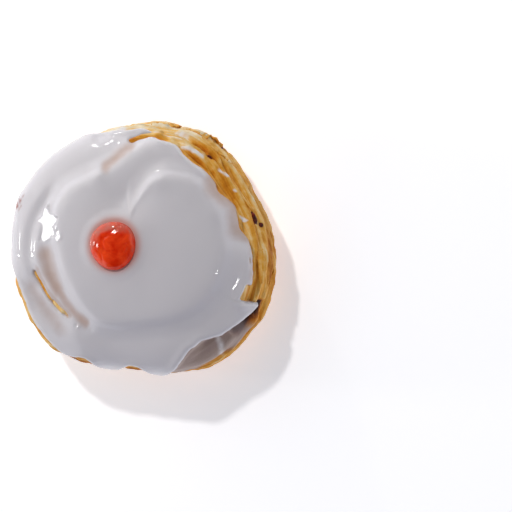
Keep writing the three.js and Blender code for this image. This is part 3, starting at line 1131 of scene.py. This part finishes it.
@dataclass
class CherryHalf:
    """Half a cherry with its cut face down in the icing."""

    columns: int = 160
    rows: int = 100
    power: float = 2.3
    sink: float = 1.1
    tuck: float = 0.86
    dome_share: float = 0.74
    rim_share: float = 0.35
    top_edge: Pair = (1.0, 0.8)
    dents: int = 3
    dent: float = 0.02
    dip: float = 0.3
    dip_edge: Pair = (0.75, 0.35)
    fold: float = 0.12
    folds: Grain = Grain(1.0, 9.0, 61.9)
    fold_width: float = 0.16
    film_turn: float = 115.0
    film_from: float = 0.72
    film_lean: float = 0.28
    film_edge: float = 0.24
    film_wobble: Grain = Grain(0.22, 4.5, 29.3)
    film_patches: Grain = Grain(0.5, 3.0, 23.9, 3, mean=0.75)
    film_cover: float = 0.9
    # Flats that catch the light
    facets: tuple[Facet, ...] = (
        Facet((-2.3, 6.7, 47.3), (-0.04, 0.59, 0.81), 0.7, 0.4),
        Facet((-1.4, 7.1, 47.2), (-0.04, 0.59, 0.81), 1.2, 0.4),
        Facet((0.2, 9.3, 45.6), (-0.04, 0.59, 0.81), 0.6, 0.4),
        Facet((-9.4, 2.9, 46.9), (-0.47, 0.02, 0.88), 0.6, 0.4),
        Facet((-8.1, 2.1, 47.3), (-0.47, 0.02, 0.88), 0.8, 0.4),
    )

    def build(self, flesh: Material) -> Object:
        """Models and dresses the cherry in the box of its solid.

        Args:
            flesh: Finish of the cherry.

        Returns:
            The piece.
        """
        low, high = (np.array(corner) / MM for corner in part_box("cherry"))
        centre, half = (low + high) / 2, (high - low) / 2
        mesh, angle, fall = sheet(self.columns, self.rows)
        turn = np.radians(angle)
        rise = np.minimum(fall / self.dome_share, 1.0) * math.pi / 2
        under = np.clip((fall - self.dome_share) / (1 - self.dome_share), 0.0, 1.0)
        side = step(0.0, self.rim_share, under)
        flat = np.clip((under - self.rim_share) / (1 - self.rim_share), 0.0, 1.0)
        out = np.where(under > 0, (1 - (1 - self.tuck) * side) * (1 - flat), np.sin(rise) ** (2 / self.power))
        out = out * (1 - self.dent * np.cos(self.dents * turn + 1))
        level = low[2] + self.sink
        dome = level + (high[2] - level) * np.clip(np.cos(rise), 0.0, 1.0) ** (2 / self.power)
        height = np.where(under > 0, level - self.sink * side, dome)
        across = centre[0] + half[0] * out * np.cos(turn)
        along_y = centre[1] + half[1] * out * np.sin(turn)
        points = np.column_stack([across, along_y, height])
        top = (under == 0) * step(*self.top_edge, out)
        crease = step(self.fold_width, 0.0, np.abs(self.folds.at(points)))
        points[:, 2] -= top * (self.dip * step(*self.dip_edge, out) + self.fold * crease)
        inner = self.film_from - self.film_lean * np.cos(turn - math.radians(self.film_turn))
        inner += self.film_wobble.at(points)
        patchy = self.film_patches.at(points)
        for facet in self.facets:
            points = facet.flatten(points)
        film = self.film_cover * patchy * step(inner, inner + self.film_edge, out)
        mark(mesh, "film", np.clip(film, 0.0, 1.0))
        wrap(mesh, points)
        piece = finish_piece(mesh, "cherry_half", flesh)
        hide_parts("cherry")
        return piece


@dataclass
class Sultanas:
    """Sultanas bedded in the bare side, as angle, distance down, length and width."""

    dough: CoiledDough
    places: tuple[tuple[float, float, float, float], ...] = (
        (14.5, 52.4, 6.4, 2.6), (11.5, 54.8, 2.4, 1.8), (57, 61.0, 4.6, 3.0), (54.5, 63.5, 4.4, 3.0),
        (51, 49.6, 2.6, 1.8), (-30.5, 53.6, 4.6, 2.2),
    )
    depth: float = 3.4
    sink: float = 0.9
    pucker: float = 0.16
    pucker_count: float = 1.9
    fineness: int = 4

    def build(self, skin: Material) -> Object:
        """Models and dresses the sultanas as one mesh.

        Args:
            skin: Finish of the sultanas.

        Returns:
            The piece.
        """
        mesh = bmesh.new()
        for index, (angle, down, length, width) in enumerate(self.places):
            at, fall = np.array([float(angle)]), np.array([float(down)])
            normal = Vector(self.dough.form.dome(at, fall)[1][0])
            centre = Vector(self.dough.surface(at, fall)[0]) - normal * self.sink
            run = Vector((-math.sin(math.radians(angle)), math.cos(math.radians(angle)), 0.0))
            lie = Matrix((run, normal.cross(run), normal)).transposed()
            made = bmesh.ops.create_icosphere(mesh, subdivisions=self.fineness, radius=1.0)["verts"]
            for vertex in made:
                place = vertex.co * self.pucker_count + Vector((7.0 * index,) * 3)
                pucker = 1 + self.pucker * noise.fractal(place, 1.0, 2.0, 3)
                berry = Vector((vertex.co.x * length, vertex.co.y * width, vertex.co.z * self.depth)) * 0.5
                vertex.co = (centre + lie @ (berry * pucker)) * MM
        bmesh.ops.recalc_face_normals(mesh, faces=mesh.faces)
        return finish_piece(mesh, "sultanas", skin)


@dataclass(frozen=True)
class Lamp:
    """One square lamp that points at the bun."""

    name: str
    place: Triple
    size: float
    power: float
    colour: str = "#FFFFFF"
    shines: bool = True


@dataclass
class Studio:
    """Pale floor, soft lamps and the camera."""

    floor_size: float = 6000.0
    aim: Triple = (0.0, 0.0, 20.0)
    camera_tilt: float = 14.0
    camera_turn: float = 2.0
    camera_distance: float = 640.0
    camera_slide: Pair = (43.75, -2.0)
    lens: float = 118.1
    sensor: float = 36.0
    sky: str = "#E6E7F0"
    sky_strength: float = 0.02
    lamps: tuple[Lamp, ...] = (
        Lamp("key_lamp", (-640, 780, 480), 1100, 4.3, "#FFFBF5"),
        Lamp("sun_lamp", (-240, 640, 930), 60, 5.4, "#FFFDFA", shines=False),
        Lamp("glint_lamp", (-370, 870, 300), 50, 0.55),
        Lamp("side_lamp", (-1000, 100, 450), 900, 1.6, "#FFFBF5"),
        Lamp("low_lamp", (-800, -600, 300), 700, 1.9, "#F6F5FA"),
        Lamp("right_lamp", (1000, 260, 170), 600, 1.3, "#FFF8EE"),
        Lamp("fill_lamp", (600, -800, 400), 900, 3.8, "#F0F0FA", shines=False),
        Lamp("spark_lamp", (-942, 30, 285), 120, 1.0),
        Lamp("edge_lamp", (661, -242, 763), 50, 0.3),
    )

    def build_floor(self, table: PaleFloor) -> None:
        """Lays the floor under the bun.

        Args:
            table: Finish of the floor.
        """
        mesh = bmesh.new()
        bmesh.ops.create_grid(mesh, x_segments=1, y_segments=1, size=self.floor_size / 2 * MM)
        floor = place_object(mesh, "floor", table.material())

    def build_lamps(self) -> None:
        """Hangs the lamps and lights the sky."""
        for lamp in self.lamps:
            light = bpy.data.lights.new(lamp.name, "AREA")
            light.size = lamp.size * MM
            light.energy = lamp.power
            light.color = linear(lamp.colour)[:3]
            holder = bpy.data.objects.new(lamp.name, light)
            holder.location = Vector(lamp.place) * MM
            holder.visible_glossy = lamp.shines
            aim = Vector(self.aim) - Vector(lamp.place)
            holder.rotation_euler = aim.to_track_quat("-Z", "Y").to_euler()
            bpy.context.scene.collection.objects.link(holder)
        world = bpy.data.worlds.new("soft_sky")
        world.use_nodes = True
        back = world.node_tree.nodes["Background"]
        back.inputs["Color"].default_value = linear(self.sky)
        back.inputs["Strength"].default_value = self.sky_strength
        bpy.context.scene.world = world

    def build_camera(self) -> None:
        """Sets the camera above the bun, a little to its right."""
        tilt, turn = math.radians(self.camera_tilt), math.radians(self.camera_turn)
        back = Vector((math.sin(tilt) * math.cos(turn), math.sin(tilt) * math.sin(turn), math.cos(tilt)))
        up = (Vector((0, 1, 0)) - back * back.y).normalized()
        right = up.cross(back)
        slide = right * self.camera_slide[0] + up * self.camera_slide[1]
        place = Vector(self.aim) + back * self.camera_distance + slide
        data = bpy.data.cameras.new("camera")
        data.lens = self.lens
        data.sensor_width = self.sensor
        camera = bpy.data.objects.new("camera", data)
        camera.matrix_world = Matrix.Translation(place * MM) @ Matrix((right, up, back)).transposed().to_4x4()
        bpy.context.scene.collection.objects.link(camera)
        bpy.context.scene.camera = camera


def main() -> None:
    """Builds the bun's pieces in order, then the studio."""
    logging.basicConfig(level=logging.INFO, format="%(name)s: %(message)s")
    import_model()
    form = BunForm()
    dough = CoiledDough(form)
    crust = BakedCrust().material()
    pieces = (
        dough.build(crust),
        LooseFlakes(dough).build(crust),
        IcingCoat(form, dough).build(WaterIcing().material()),
        CherryHalf().build(GlaceCherry().material()),
        Sultanas(dough).build(DriedFruit().material()),
    )
    for piece in pieces:
        LOG.info("%s: %d vertices, %d faces", piece.name, len(piece.data.vertices), len(piece.data.polygons))
    studio = Studio()
    studio.build_floor(PaleFloor())
    studio.build_lamps()
    studio.build_camera()
    bpy.context.scene.view_settings.view_transform = "Standard"


if __name__ == "__main__":
    main()
